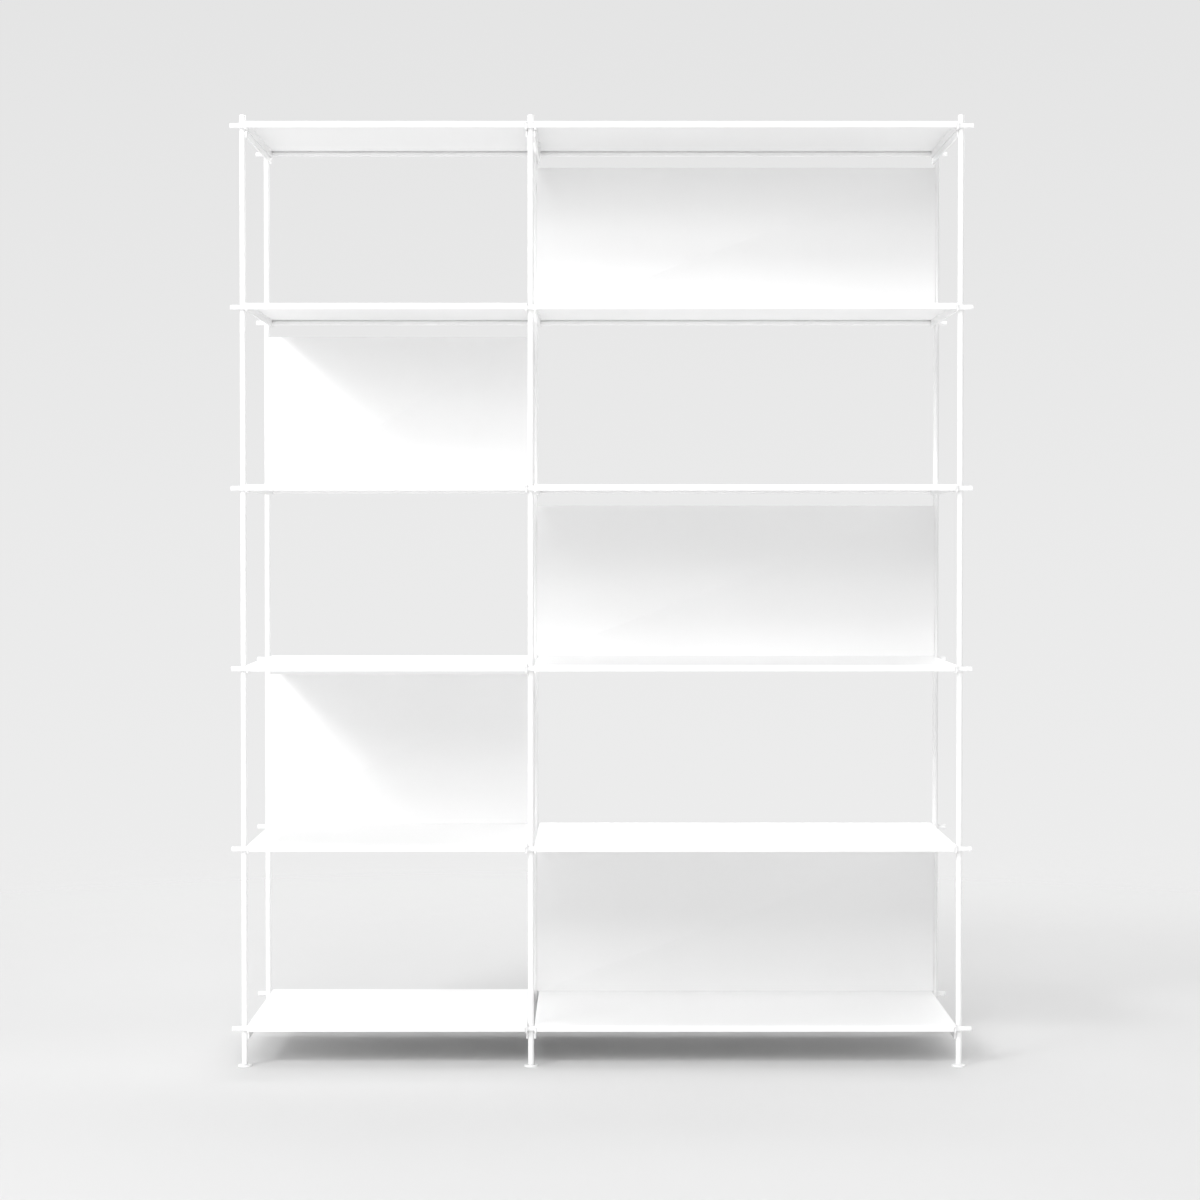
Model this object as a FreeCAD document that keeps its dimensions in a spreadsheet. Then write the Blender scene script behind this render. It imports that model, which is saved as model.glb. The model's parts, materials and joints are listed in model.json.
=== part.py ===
import FreeCAD, Part
import os
import Sketcher

# Open shelving unit on a frame of slender round rods, usable from both sides.
#
# Three posts stand in front and three behind. At every level one thin crossbar lies across the outer side
# of each row of posts and is welded to them, so each row is a lattice. Folded sheet-metal trays hook over
# the front and rear crossbars, one in each bay. Flat ties join front and rear posts at the lowest and highest
# level. Thin back panels stand in some of the compartments, hooked to the rear posts, and every post stands
# on a levelling foot.
#
# Frame: origin on the floor under the middle of the unit, +X to the right, +Y to the rear, +Z up, in mm.

FULL_TURN = 360
TOLERANCE = 1e-4
FRONT = -1
REAR = 1
LEFTWARDS = -1
RIGHTWARDS = 1

doc = FreeCAD.newDocument("rod_frame_shelving")

# ------------------------------------------------------------------------------------------ driving sizes

DRIVING_SIZES = [
    ("left_bay", 478, "left post to middle post, centre to centre"),
    ("right_bay", 714, "middle post to right post, centre to centre"),
    ("row_spacing", 360, "front posts to rear posts, centre to centre"),
    ("level_count", 6, "levels of shelves"),
    ("level_pitch", 300, "one level to the next"),
    ("lowest_level", 64.5, "centre of the lowest crossbars above the floor"),
    ("post_diameter", 10, "posts"),
    ("post_top", 19.5, "posts above the centre of the highest crossbars"),
    ("post_top_chamfer", 1.4, "upper edge of the posts"),
    ("bar_diameter", 8, "crossbars"),
    ("bar_overhang", 20, "crossbars past the centres of the outer posts"),
    ("shelf_sheet", 1.5, "sheet of the shelves"),
    ("shelf_end_gap", 1, "between a shelf's end and the posts"),
    ("shelf_over_bar", 1.1, "between a crossbar and the shelf sheet over it"),
    ("bend_inner", 1.5, "inner radius of the shelf's bends"),
    ("lip_height", 10, "turned-down lips, from the top of the shelf"),
    ("lip_gap", 5.5, "between a crossbar and the lip in front of it"),
    ("lip_set_back", 3.7, "ends of the lips back from the ends of the sheet"),
    ("end_plate", 3, "end plates under the shelf's ends"),
    ("end_plate_drop", 6.8, "bottom of the end plates under the crossbar's centre"),
    ("end_plate_gap", 0.5, "between an end plate and the lips"),
    ("end_plate_corner", 2.2, "cut corners of an end plate"),
    ("hook_clearance", 0.2, "between a crossbar and the hooks of the end plates"),
    ("hook_mouth", 1.2, "flare of the hooks' mouths"),
    ("weld_leg", 2, "weld along the inner side of an end plate"),
    ("tie_thickness", 3, "ties"),
    ("tie_height", 10.5, "ties"),
    ("tie_under_plate", 0.7, "between the end plates and the ties under them"),
    ("tie_past_post", 4, "ties past the centres of the posts"),
    ("tie_corner", 1.5, "cut corners of the ties"),
    ("panel_sheet", 2, "back panels"),
    ("panel_post_gap", 1, "between a back panel and the rear posts"),
    ("panel_side", 3, "side edges of a back panel from the centres of the posts"),
    ("panel_top_gap", 25.9, "top of a back panel under the centre of the crossbar above"),
    ("clip_clearance", 0.1, "between a panel clip and its post"),
    ("clip_strip", 1, "strip that the panel clips are bent from"),
    ("clip_height", 10, "panel clips"),
    ("clip_inset", 30, "panel clips from the top and bottom of the panel"),
    ("clip_pad_reach", 16, "pad of a clip from the centre of the post"),
    ("clip_tail", 2, "tail of a clip past the centre of the post"),
    ("foot_disc", 23, "levelling feet, across"),
    ("foot_disc_thickness", 3, "levelling feet"),
    ("foot_gap", 0.3, "between a foot and the end of its post"),
    ("foot_bore", 6, "bore for the foot's stud"),
    ("foot_bore_depth", 30, "bore for the foot's stud"),
    ("foot_stud_length", 25, "stud over the foot's disc"),
    ("foot_stud_clearance", 0.05, "between the stud and its bore"),
]

sheet = doc.addObject("Spreadsheet::Sheet", "sizes")
for row, (alias, value, meaning) in enumerate(DRIVING_SIZES, start=1):
    sheet.set(f"A{row}", meaning)
    sheet.set(f"B{row}", str(value))
    sheet.setAlias(f"B{row}", alias)
doc.recompute()

# ------------------------------------------------------------------- places and sizes worked out from them

LEFT_POST = "(-(sizes.left_bay + sizes.right_bay) / 2)"
MIDDLE_POST = "((sizes.left_bay - sizes.right_bay) / 2)"
RIGHT_POST = "((sizes.left_bay + sizes.right_bay) / 2)"
POST_PLACES = {"left": LEFT_POST, "middle": MIDDLE_POST, "right": RIGHT_POST}
BAYS = {
    "left": {"width": "sizes.left_bay", "middle": f"(({LEFT_POST} + {MIDDLE_POST}) / 2)"},
    "right": {"width": "sizes.right_bay", "middle": f"(({MIDDLE_POST} + {RIGHT_POST}) / 2)"},
}
ROWS = {"front": FRONT, "rear": REAR}

POST_RADIUS = "(sizes.post_diameter / 2)"
BAR_RADIUS = "(sizes.bar_diameter / 2)"
HALF_ROWS = "(sizes.row_spacing / 2)"
POST_BOTTOM = "(sizes.foot_disc_thickness + sizes.foot_gap)"
TOP_LEVEL = "(sizes.lowest_level + (sizes.level_count - 1) * sizes.level_pitch)"
POST_LENGTH = f"({TOP_LEVEL} + sizes.post_top - {POST_BOTTOM})"
BAR_LENGTH = "(sizes.left_bay + sizes.right_bay + 2 * sizes.bar_overhang)"
BAR_Y = f"({HALF_ROWS} + {POST_RADIUS} + {BAR_RADIUS})"

SHELF_UNDERSIDE = f"({BAR_RADIUS} + sizes.shelf_over_bar)"
SHELF_TOP = f"({SHELF_UNDERSIDE} + sizes.shelf_sheet)"
LIP_INNER = f"({BAR_Y} + {BAR_RADIUS} + sizes.lip_gap)"
LIP_OUTER = f"({LIP_INNER} + sizes.shelf_sheet)"
LIP_BOTTOM = f"({SHELF_TOP} - sizes.lip_height)"
BEND_OUTER = "(sizes.bend_inner + sizes.shelf_sheet)"
PLATE_END = f"({LIP_INNER} - sizes.end_plate_gap)"
HOOK_REACH = f"({BAR_RADIUS} + sizes.hook_clearance)"
HOOK_CORNER = f"((2 - sqrt(2)) * {HOOK_REACH})"

TIE_DROP = "(sizes.end_plate_drop + sizes.tie_under_plate + sizes.tie_height / 2)"
LOW_TIE = f"(sizes.lowest_level - {TIE_DROP})"
HIGH_TIE = f"({TOP_LEVEL} - {TIE_DROP})"
TIE_OFFSET = f"({POST_RADIUS} + sizes.tie_thickness / 2)"

PANEL_BACK = f"({HALF_ROWS} - {POST_RADIUS} - sizes.panel_post_gap)"
PANEL_HEIGHT = f"(sizes.level_pitch - {SHELF_TOP} - sizes.panel_top_gap)"
STUD_DIAMETER = "(sizes.foot_bore - 2 * sizes.foot_stud_clearance)"

# Levels, counted from 0 at the bottom, whose shelf carries a back panel.
PANEL_LEVELS = {"left": (1, 3), "right": (0, 2, 4)}


def number(expression):
    """The value of an expression on the sheet."""
    return float(sheet.evalExpression(expression))


def level_height(level):
    """Height of a level's crossbars above the floor."""
    return f"(sizes.lowest_level + {level} * sizes.level_pitch)"


LEVELS = range(round(number("sizes.level_count")))

# ----------------------------------------------------------------------------------------- sketch helpers


def origin_feature(body, role):
    """One of the planes or axes of the body's own origin."""
    return [feature for feature in body.Origin.OriginFeatures if feature.Role == role][0]


def new_sketch(body, name, plane, offset="0"):
    """A sketch on a plane of the body's origin, moved by offset along the sketch's normal.

    The normals are +Z on XY_Plane, +X on YZ_Plane and -Y on XZ_Plane.
    """
    sketch = body.newObject("Sketcher::SketchObject", name)
    sketch.AttachmentSupport = [(origin_feature(body, plane), "")]
    sketch.MapMode = "FlatFace"
    sketch.setExpression("AttachmentOffset.Base.z", offset)
    return sketch


def pin_point(sketch, geometry, vertex, x, y):
    """Hold one point of the sketch at (x, y) from its origin."""
    for direction, distance in (("DistanceX", x), ("DistanceY", y)):
        constraint = Sketcher.Constraint(direction, -1, 1, geometry, vertex, number(distance))
        index = sketch.addConstraint(constraint)
        sketch.setExpression(f"Constraints[{index}]", distance)


def add_outline(sketch, corners):
    """A closed outline of straight edges through the corners."""
    first = sketch.GeometryCount
    places = [FreeCAD.Vector(number(x), number(y), 0) for x, y in corners]
    for index, start in enumerate(places):
        end = places[(index + 1) % len(places)]
        sketch.addGeometry(Part.LineSegment(start, end), False)
    for index, (x, y) in enumerate(corners):
        edge_before = first + (index - 1) % len(corners)
        sketch.addConstraint(Sketcher.Constraint("Coincident", edge_before, 2, first + index, 1))
        pin_point(sketch, first + index, 1, x, y)


def add_rectangle(sketch, left, right, bottom, top):
    """An upright rectangle between four limits."""
    add_outline(sketch, [(left, bottom), (right, bottom), (right, top), (left, top)])


def add_plate(sketch, half_width, bottom, top, corner):
    """A rectangle, even about the vertical axis, with its corners cut off."""
    inner = f"({half_width} - {corner})"
    low = f"({bottom} + {corner})"
    high = f"({top} - {corner})"
    corners = [
        (f"-{inner}", bottom),
        (inner, bottom),
        (half_width, low),
        (half_width, high),
        (inner, top),
        (f"-{inner}", top),
        (f"-{half_width}", high),
        (f"-{half_width}", low),
    ]
    add_outline(sketch, corners)


def add_circle(sketch, diameter):
    """A full circle about the sketch's origin."""
    ring = Part.Circle(FreeCAD.Vector(0, 0, 0), FreeCAD.Vector(0, 0, 1), number(diameter) / 2)
    geometry = sketch.addGeometry(ring, False)
    pin_point(sketch, geometry, 3, "0", "0")
    index = sketch.addConstraint(Sketcher.Constraint("Diameter", geometry, number(diameter)))
    sketch.setExpression(f"Constraints[{index}]", diameter)


# ---------------------------------------------------------------------------------------- feature helpers


def new_body(name, x, y, z):
    """A body placed by expressions. It may hold several separate solids."""
    body = doc.addObject("PartDesign::Body", name)
    body.Label = name
    body.AllowCompound = True
    for axis, place in (("x", x), ("y", y), ("z", z)):
        body.setExpression(f"Placement.Base.{axis}", place)
    return body


def pad(body, name, sketch, length, both_ways=False):
    """Extrude the sketch along its normal, or evenly both ways."""
    feature = body.newObject("PartDesign::Pad", name)
    feature.Profile = sketch
    feature.SideType = "Symmetric" if both_ways else "One side"
    feature.setExpression("Length", length)
    doc.recompute()
    return feature


def cut_through(body, name, sketch):
    """Cut the sketch's outline through everything, both ways."""
    volume_before = body.Shape.Volume
    feature = body.newObject("PartDesign::Pocket", name)
    feature.Profile = sketch
    feature.SideType = "Symmetric"
    feature.Type = "ThroughAll"
    doc.recompute()
    if body.Shape.Volume > volume_before - TOLERANCE:
        raise RuntimeError(f"{name} in {body.Label} removes nothing")
    return feature


def copy_upwards(body, name, original, distance):
    """One more copy of a feature, that far up the body's Z axis."""
    feature = body.newObject("PartDesign::LinearPattern", name)
    feature.Originals = [original]
    feature.Direction = (origin_feature(body, "Z_Axis"), [""])
    feature.Mode = "Spacing"
    feature.setExpression("Offset", distance)
    feature.Occurrences = 2
    body.Tip = feature
    doc.recompute()
    return feature


def edges_where(shape, chosen):
    """Names of the shape's edges for which chosen(edge) holds."""
    return [f"Edge{index}" for index, edge in enumerate(shape.Edges, start=1) if chosen(edge)]


def close(first, second):
    """True where two lengths agree."""
    return abs(first - second) < TOLERANCE


def lies_along_x(edge, height):
    """True for a straight edge parallel to the X axis at this height in the body."""
    if not isinstance(edge.Curve, Part.Line):
        return False
    return close(abs(edge.Curve.Direction.x), 1) and close(edge.CenterOfMass.z, height)


def dress_edges(body, kind, name, base, edges, size_name, size):
    """Fillet or chamfer the named edges of a feature of the body."""
    if not edges:
        raise RuntimeError(f"{name} in {body.Label} finds no edge")
    feature = body.newObject(kind, name)
    feature.Base = (base, edges)
    feature.setExpression(size_name, size)
    body.Tip = feature
    doc.recompute()
    return feature


# ----------------------------------------------------------------------------------------------- the posts


def make_post(name, x, row):
    """One post, with the bore for its foot's stud in the lower end."""
    body = new_body(name, x, f"{row} * {HALF_ROWS}", POST_BOTTOM)
    section = new_sketch(body, "post_section", "XY_Plane")
    add_circle(section, "sizes.post_diameter")
    rod = pad(body, "post_rod", section, POST_LENGTH)

    top = number(POST_LENGTH)
    top_edge = edges_where(rod.Shape, lambda edge: close(edge.CenterOfMass.z, top))
    dress_edges(body, "PartDesign::Chamfer", "post_top", rod, top_edge, "Size", "sizes.post_top_chamfer")

    bore_section = new_sketch(body, "foot_bore_section", "XY_Plane")
    add_circle(bore_section, "sizes.foot_bore")
    bore = body.newObject("PartDesign::Pocket", "foot_bore")
    bore.Profile = bore_section
    bore.Reversed = True
    bore.setExpression("Length", "sizes.foot_bore_depth")
    doc.recompute()
    return body


# ------------------------------------------------------------------------------------------- the crossbars


def make_crossbar(name, row, level):
    """One crossbar, on the outer side of its row of posts."""
    body = new_body(name, "0", f"{row} * {BAR_Y}", level_height(level))
    section = new_sketch(body, "bar_section", "YZ_Plane")
    add_circle(section, "sizes.bar_diameter")
    pad(body, "bar_rod", section, BAR_LENGTH, both_ways=True)
    return body


# --------------------------------------------------------------------------------------------- the shelves


def make_shelf(name, bay, level):
    """One shelf: a folded tray with an end plate under each end that hooks over both crossbars."""
    body = new_body(name, bay["middle"], "0", level_height(level))
    half_length = f"({bay['width']} / 2 - {POST_RADIUS} - sizes.shelf_end_gap)"

    block_section = new_sketch(body, "tray_section", "YZ_Plane")
    add_rectangle(block_section, f"-{LIP_OUTER}", LIP_OUTER, LIP_BOTTOM, SHELF_TOP)
    block = pad(body, "tray_block", block_section, f"(2 * {half_length})", both_ways=True)
    top = number(SHELF_TOP)
    bends = edges_where(block.Shape, lambda edge: lies_along_x(edge, top))
    dress_edges(body, "PartDesign::Fillet", "outer_bends", block, bends, "Radius", BEND_OUTER)

    hollow_section = new_sketch(body, "hollow_section", "YZ_Plane")
    below = f"({LIP_BOTTOM} - sizes.shelf_sheet)"
    add_rectangle(hollow_section, f"-{LIP_INNER}", LIP_INNER, below, SHELF_UNDERSIDE)
    hollow = cut_through(body, "hollow", hollow_section)
    under = number(SHELF_UNDERSIDE)
    bends = edges_where(hollow.Shape, lambda edge: lies_along_x(edge, under))
    dress_edges(body, "PartDesign::Fillet", "inner_bends", hollow, bends, "Radius", "sizes.bend_inner")

    relief_section = new_sketch(body, "lip_end_section", "XZ_Plane")
    lip_end = f"({half_length} - sizes.lip_set_back)"
    past_end = f"({half_length} + sizes.shelf_end_gap)"
    straight_lip_top = f"({SHELF_TOP} - {BEND_OUTER})"
    add_rectangle(relief_section, lip_end, past_end, below, straight_lip_top)
    add_rectangle(relief_section, f"-{past_end}", f"-{lip_end}", below, straight_lip_top)
    cut_through(body, "lip_ends", relief_section)

    plate_face = f"({half_length} - sizes.end_plate)"
    plate_bottom = "-sizes.end_plate_drop"
    plate_section = new_sketch(body, "end_plate_section", "YZ_Plane", plate_face)
    corner_in = f"({PLATE_END} - sizes.end_plate_corner)"
    corner_up = f"({plate_bottom} + sizes.end_plate_corner)"
    plate_corners = [
        (f"-{corner_in}", plate_bottom),
        (corner_in, plate_bottom),
        (PLATE_END, corner_up),
        (PLATE_END, SHELF_UNDERSIDE),
        (f"-{PLATE_END}", SHELF_UNDERSIDE),
        (f"-{PLATE_END}", corner_up),
    ]
    add_outline(plate_section, plate_corners)
    plate = pad(body, "end_plate", plate_section, "sizes.end_plate")

    weld_section = new_sketch(body, "weld_section", "XZ_Plane")
    weld_corners = [
        (plate_face, SHELF_UNDERSIDE),
        (f"({plate_face} - sizes.weld_leg)", SHELF_UNDERSIDE),
        (plate_face, f"({SHELF_UNDERSIDE} - sizes.weld_leg)"),
    ]
    add_outline(weld_section, weld_corners)
    weld_length = f"(2 * ({LIP_INNER} - sizes.bend_inner))"
    weld = pad(body, "weld", weld_section, weld_length, both_ways=True)

    other_end = body.newObject("PartDesign::Mirrored", "other_end")
    other_end.Originals = [plate, weld]
    other_end.MirrorPlane = (origin_feature(body, "YZ_Plane"), [""])
    body.Tip = other_end
    doc.recompute()

    # Each hook is half an octagon round the crossbar, open downwards, with a flared mouth.
    hook_section = new_sketch(body, "hook_section", "YZ_Plane")
    mouth_top = f"({plate_bottom} + sizes.hook_mouth)"
    under_plate = f"({plate_bottom} - sizes.end_plate)"
    shoulder = f"({HOOK_REACH} - {HOOK_CORNER})"
    flare = f"({HOOK_REACH} + sizes.hook_mouth)"
    half_outline = [
        (shoulder, HOOK_REACH),
        (HOOK_REACH, shoulder),
        (HOOK_REACH, mouth_top),
        (flare, plate_bottom),
        (flare, under_plate),
    ]
    for row in (FRONT, REAR):
        bar_y = f"({row} * {BAR_Y})"
        far_side = [(f"({bar_y} + {y})", z) for y, z in half_outline]
        near_side = [(f"({bar_y} - {y})", z) for y, z in reversed(half_outline)]
        add_outline(hook_section, far_side + near_side)
    cut_through(body, "hooks", hook_section)
    return body


# ------------------------------------------------------------------------------------------------ the ties


def make_tie(name, x, side, height):
    """One tie, flat against one side of a front and a rear post."""
    body = new_body(name, f"({x} + {side} * {TIE_OFFSET})", "0", height)
    section = new_sketch(body, "tie_section", "YZ_Plane")
    half_length = f"({HALF_ROWS} + sizes.tie_past_post)"
    half_height = "(sizes.tie_height / 2)"
    add_plate(section, half_length, f"-{half_height}", half_height, "sizes.tie_corner")
    pad(body, "tie_bar", section, "sizes.tie_thickness", both_ways=True)
    return body


# ----------------------------------------------------------------------------- the back panels, their clips


def make_panel(name, bay, level):
    """One back panel, standing on its shelf just in front of the rear posts."""
    foot = f"({level_height(level)} + {SHELF_TOP})"
    body = new_body(name, bay["middle"], PANEL_BACK, foot)
    section = new_sketch(body, "panel_outline", "XZ_Plane")
    half_width = f"({bay['width']} / 2 - sizes.panel_side)"
    add_rectangle(section, f"-{half_width}", half_width, "0", PANEL_HEIGHT)
    pad(body, "panel_sheet", section, "sizes.panel_sheet")
    return body


def make_clips(name, bay, level):
    """The clips of one panel, bent from strip: a pad on the panel's back and a hook round the post."""
    foot = f"({level_height(level)} + {SHELF_TOP})"
    body = new_body(name, bay["middle"], HALF_ROWS, foot)
    pad_front = f"(-{POST_RADIUS} - sizes.panel_post_gap)"
    pad_back = f"({pad_front} + sizes.clip_strip)"
    hook_inner = f"({POST_RADIUS} + sizes.clip_clearance)"
    hook_outer = f"({hook_inner} + sizes.clip_strip)"
    tail = "(-sizes.clip_tail)"
    # Corners of one clip: distance from the post's centre towards the middle of the panel, and depth.
    clip_outline = [
        ("sizes.panel_side", pad_front),
        ("sizes.clip_pad_reach", pad_front),
        ("sizes.clip_pad_reach", pad_back),
        (hook_outer, pad_back),
        (hook_outer, hook_outer),
        (tail, hook_outer),
        (tail, hook_inner),
        (hook_inner, hook_inner),
        (hook_inner, pad_back),
        ("sizes.panel_side", pad_back),
    ]
    section = new_sketch(body, "clip_section", "XY_Plane", "sizes.clip_inset")
    for side in (LEFTWARDS, RIGHTWARDS):
        post_x = f"({side} * {bay['width']} / 2)"
        add_outline(section, [(f"({post_x} - {side} * {inwards})", depth) for inwards, depth in clip_outline])
    lower = pad(body, "lower_clips", section, "sizes.clip_height")
    copy_upwards(body, "upper_clips", lower, f"({PANEL_HEIGHT} - 2 * sizes.clip_inset - sizes.clip_height)")
    return body


# ------------------------------------------------------------------------------------------------ the feet


def make_foot(name, x, row):
    """One levelling foot: a flat disc and the stud that stands in the post's bore."""
    body = new_body(name, x, f"{row} * {HALF_ROWS}", "0")
    rim = "(sizes.foot_disc / 2)"
    stud = f"({STUD_DIAMETER} / 2)"
    disc_top = "sizes.foot_disc_thickness"
    tip = f"({disc_top} + sizes.foot_stud_length)"
    profile = new_sketch(body, "foot_profile", "XZ_Plane")
    corners = [
        ("0", "0"),
        (rim, "0"),
        (rim, disc_top),
        (stud, disc_top),
        (stud, tip),
        ("0", tip),
    ]
    add_outline(profile, corners)
    turned = body.newObject("PartDesign::Revolution", "foot_turned")
    turned.Profile = profile
    turned.ReferenceAxis = (profile, ["V_Axis"])
    turned.Angle = FULL_TURN
    doc.recompute()
    return body


# --------------------------------------------------------------------------------------- the whole assembly

nodes = []

for row_name, row in ROWS.items():
    for post_name, x in POST_PLACES.items():
        nodes.append(make_post(f"{row_name}_{post_name}_post", x, row))
        nodes.append(make_foot(f"{row_name}_{post_name}_foot", x, row))

for row_name, row in ROWS.items():
    for level in LEVELS:
        nodes.append(make_crossbar(f"{row_name}_crossbar_{level + 1}", row, level))

for bay_name, bay in BAYS.items():
    for level in LEVELS:
        nodes.append(make_shelf(f"{bay_name}_shelf_{level + 1}", bay, level))

TIE_PLACES = {
    "left_outer": (LEFT_POST, RIGHTWARDS),
    "left_inner": (MIDDLE_POST, LEFTWARDS),
    "right_inner": (MIDDLE_POST, RIGHTWARDS),
    "right_outer": (RIGHT_POST, LEFTWARDS),
}
for place_name, (x, side) in TIE_PLACES.items():
    for end_name, height in (("bottom", LOW_TIE), ("top", HIGH_TIE)):
        nodes.append(make_tie(f"{end_name}_{place_name}_tie", x, side, height))

for bay_name, levels in PANEL_LEVELS.items():
    for level in levels:
        nodes.append(make_panel(f"{bay_name}_panel_{level + 1}", BAYS[bay_name], level))
        nodes.append(make_clips(f"{bay_name}_panel_{level + 1}_clips", BAYS[bay_name], level))

# ----------------------------------------------------------------------------------------- check and export

doc.recompute()
for item in doc.Objects:
    if "Invalid" in item.State or "Error" in item.State:
        raise RuntimeError(f"{item.Label} failed: {item.State}")
for node in nodes:
    if node.Shape.isNull() or not node.Shape.isValid():
        raise RuntimeError(f"{node.Label} has no valid shape")

os.makedirs("parts", exist_ok=True)
for node in nodes:
    node.Shape.exportStep(f"parts/{node.Label}.step")

whole = FreeCAD.BoundBox()
for node in nodes:
    whole.add(node.Shape.BoundBox)
print(f"{len(nodes)} nodes, {whole.XLength:.1f} x {whole.YLength:.1f} x {whole.ZLength:.1f} mm")
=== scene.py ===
# %% [markdown]
# # An open shelving unit of slender white rods
# The unit is a rod frame with folded sheet-metal trays hooked over it. Its frame comes from the CAD model,
# which fixes every size. This lesson dresses that frame: it remodels the pieces whose edges catch the light,
# adds the small fasteners and welds, and gives every piece a painted or plated finish.

import json
import math

import bmesh
import bpy
from mathutils import Matrix, Vector

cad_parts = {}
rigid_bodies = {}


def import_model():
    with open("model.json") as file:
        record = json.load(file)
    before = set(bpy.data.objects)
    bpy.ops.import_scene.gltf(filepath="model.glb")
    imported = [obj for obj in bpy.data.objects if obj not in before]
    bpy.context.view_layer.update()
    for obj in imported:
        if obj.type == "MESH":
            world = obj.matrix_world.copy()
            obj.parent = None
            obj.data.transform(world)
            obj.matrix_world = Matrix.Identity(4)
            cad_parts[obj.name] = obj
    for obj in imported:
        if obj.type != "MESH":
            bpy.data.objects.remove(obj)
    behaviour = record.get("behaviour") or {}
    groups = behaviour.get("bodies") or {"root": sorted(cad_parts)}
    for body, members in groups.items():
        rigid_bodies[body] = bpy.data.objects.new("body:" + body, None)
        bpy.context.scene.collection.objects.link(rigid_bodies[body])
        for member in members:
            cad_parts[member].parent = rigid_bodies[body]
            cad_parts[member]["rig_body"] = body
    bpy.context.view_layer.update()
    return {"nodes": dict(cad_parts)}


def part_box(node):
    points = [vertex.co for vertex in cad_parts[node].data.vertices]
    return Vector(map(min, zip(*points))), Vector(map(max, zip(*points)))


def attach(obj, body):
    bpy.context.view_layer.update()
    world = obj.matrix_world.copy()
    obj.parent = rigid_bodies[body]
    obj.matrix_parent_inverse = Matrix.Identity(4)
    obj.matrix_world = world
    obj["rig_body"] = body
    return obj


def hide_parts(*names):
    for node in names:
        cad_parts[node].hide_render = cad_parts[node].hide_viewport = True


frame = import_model()
nodes = frame["nodes"]

# %% [markdown]
# ## Sizes come from the frame
# A dressed piece has to sit exactly where its CAD solid is.

# %% Read the places of the posts, levels and bays
MM = 0.001
ROW_NAMES = ("front", "rear")
POST_NAMES = ("left", "middle", "right")
BAY_NAMES = ("left", "right")
LEVELS = sorted({int(name.rsplit("_", 1)[1]) for name in nodes if "_crossbar_" in name})


def middle_of(node):
    """The centre of a CAD node's box."""
    low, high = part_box(node)
    return (low + high) / 2


def size_of(node):
    """The size of a CAD node's box."""
    low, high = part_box(node)
    return high - low


post_radius = size_of("front_left_post").x / 2
bar_radius = size_of("front_crossbar_1").z / 2
post_middle = {
    (row, post): middle_of(f"{row}_{post}_post") for row in ROW_NAMES for post in POST_NAMES
}
bar_middle = {(row, level): middle_of(f"{row}_crossbar_{level}") for row in ROW_NAMES for level in LEVELS}
print(f"posts {2 * post_radius / MM:.1f} mm, crossbars {2 * bar_radius / MM:.1f} mm, {len(LEVELS)} levels")

# %% [markdown]
# ## A helper for shader maths
# In the node editor a formula becomes a chain of Math nodes. Here one small class wraps an output socket and
# overloads Python's operators, so a formula stays readable and still builds the same chain of nodes.


# %% Wrap a socket so that arithmetic adds Math nodes
MIX_FACTOR, MIX_FIRST, MIX_SECOND, MIX_COLOUR = 0, 6, 7, 2


class Value:
    """A number in a material: an output socket that Python's operators can be used on."""

    def __init__(self, finish, socket):
        self.finish = finish
        self.socket = socket

    def _math(self, operation, first, second):
        return self.finish.add("ShaderNodeMath", {"operation": operation}, {0: first, 1: second})

    def __add__(self, other):
        return self._math("ADD", self, other)

    def __radd__(self, other):
        return self._math("ADD", other, self)

    def __sub__(self, other):
        return self._math("SUBTRACT", self, other)

    def __rsub__(self, other):
        return self._math("SUBTRACT", other, self)

    def __mul__(self, other):
        return self._math("MULTIPLY", self, other)

    def __rmul__(self, other):
        return self._math("MULTIPLY", other, self)


class Finish:
    """A material under construction."""

    def __init__(self, name):
        self.material = bpy.data.materials.new(name)
        self.material.use_nodes = True
        self.tree = self.material.node_tree
        self.tree.nodes.clear()

    def add(self, kind, settings=None, sockets=None, output=0):
        """Add a node: first its settings, then its sockets. Returns one of its outputs as a Value."""
        node = self.tree.nodes.new(kind)
        for name, setting in (settings or {}).items():
            setattr(node, name, setting)
        for name, source in (sockets or {}).items():
            if isinstance(source, Value):
                self.tree.links.new(source.socket, node.inputs[name])
            else:
                node.inputs[name].default_value = source
        return Value(self, node.outputs[output])

    def blend_colours(self, factor, first, second):
        """A colour between two colours. The Mix node's sockets share their names, so they go by place."""
        sockets = {MIX_FACTOR: factor, MIX_FIRST: first, MIX_SECOND: second}
        return self.add("ShaderNodeMix", {"data_type": "RGBA"}, sockets, output=MIX_COLOUR)

    def share(self, value, start, end, interpolation="LINEAR"):
        """0 to 1 as a value goes from start to end."""
        settings = {"clamp": True, "interpolation_type": interpolation}
        sockets = {"Value": value, "From Min": start, "From Max": end, "To Min": 0.0, "To Max": 1.0}
        return self.add("ShaderNodeMapRange", settings, sockets)

    def close(self, surface):
        """Finish the material with this surface shader."""
        output = self.tree.nodes.new("ShaderNodeOutputMaterial")
        self.tree.links.new(surface.socket, output.inputs["Surface"])
        return self.material


print("materials are built from", Finish.__name__, "and", Value.__name__)

# %% [markdown]
# ## Powder coat
# The steel is sprayed with a dry polyester powder and baked, which gives an even satin white with a very fine
# orange peel. The peel is two noises of different scale that feed a Bump node. A third, slow noise moves the
# roughness and the tone a little, because no coat is equally thick everywhere.


# %% Make a powder coat
WHITE = 0.95
TONE_DRIFT = 0.006
CLOUD_SCALE = 9.0
GRAIN_TO_PEEL = 4
PEEL_SHARE = 0.75
PEEL_STRENGTH = 0.35
CLOUD_ROUGHNESS = 0.1
PEEL_ROUGHNESS = 0.06
NOISE_MIDDLE = 0.5


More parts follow.
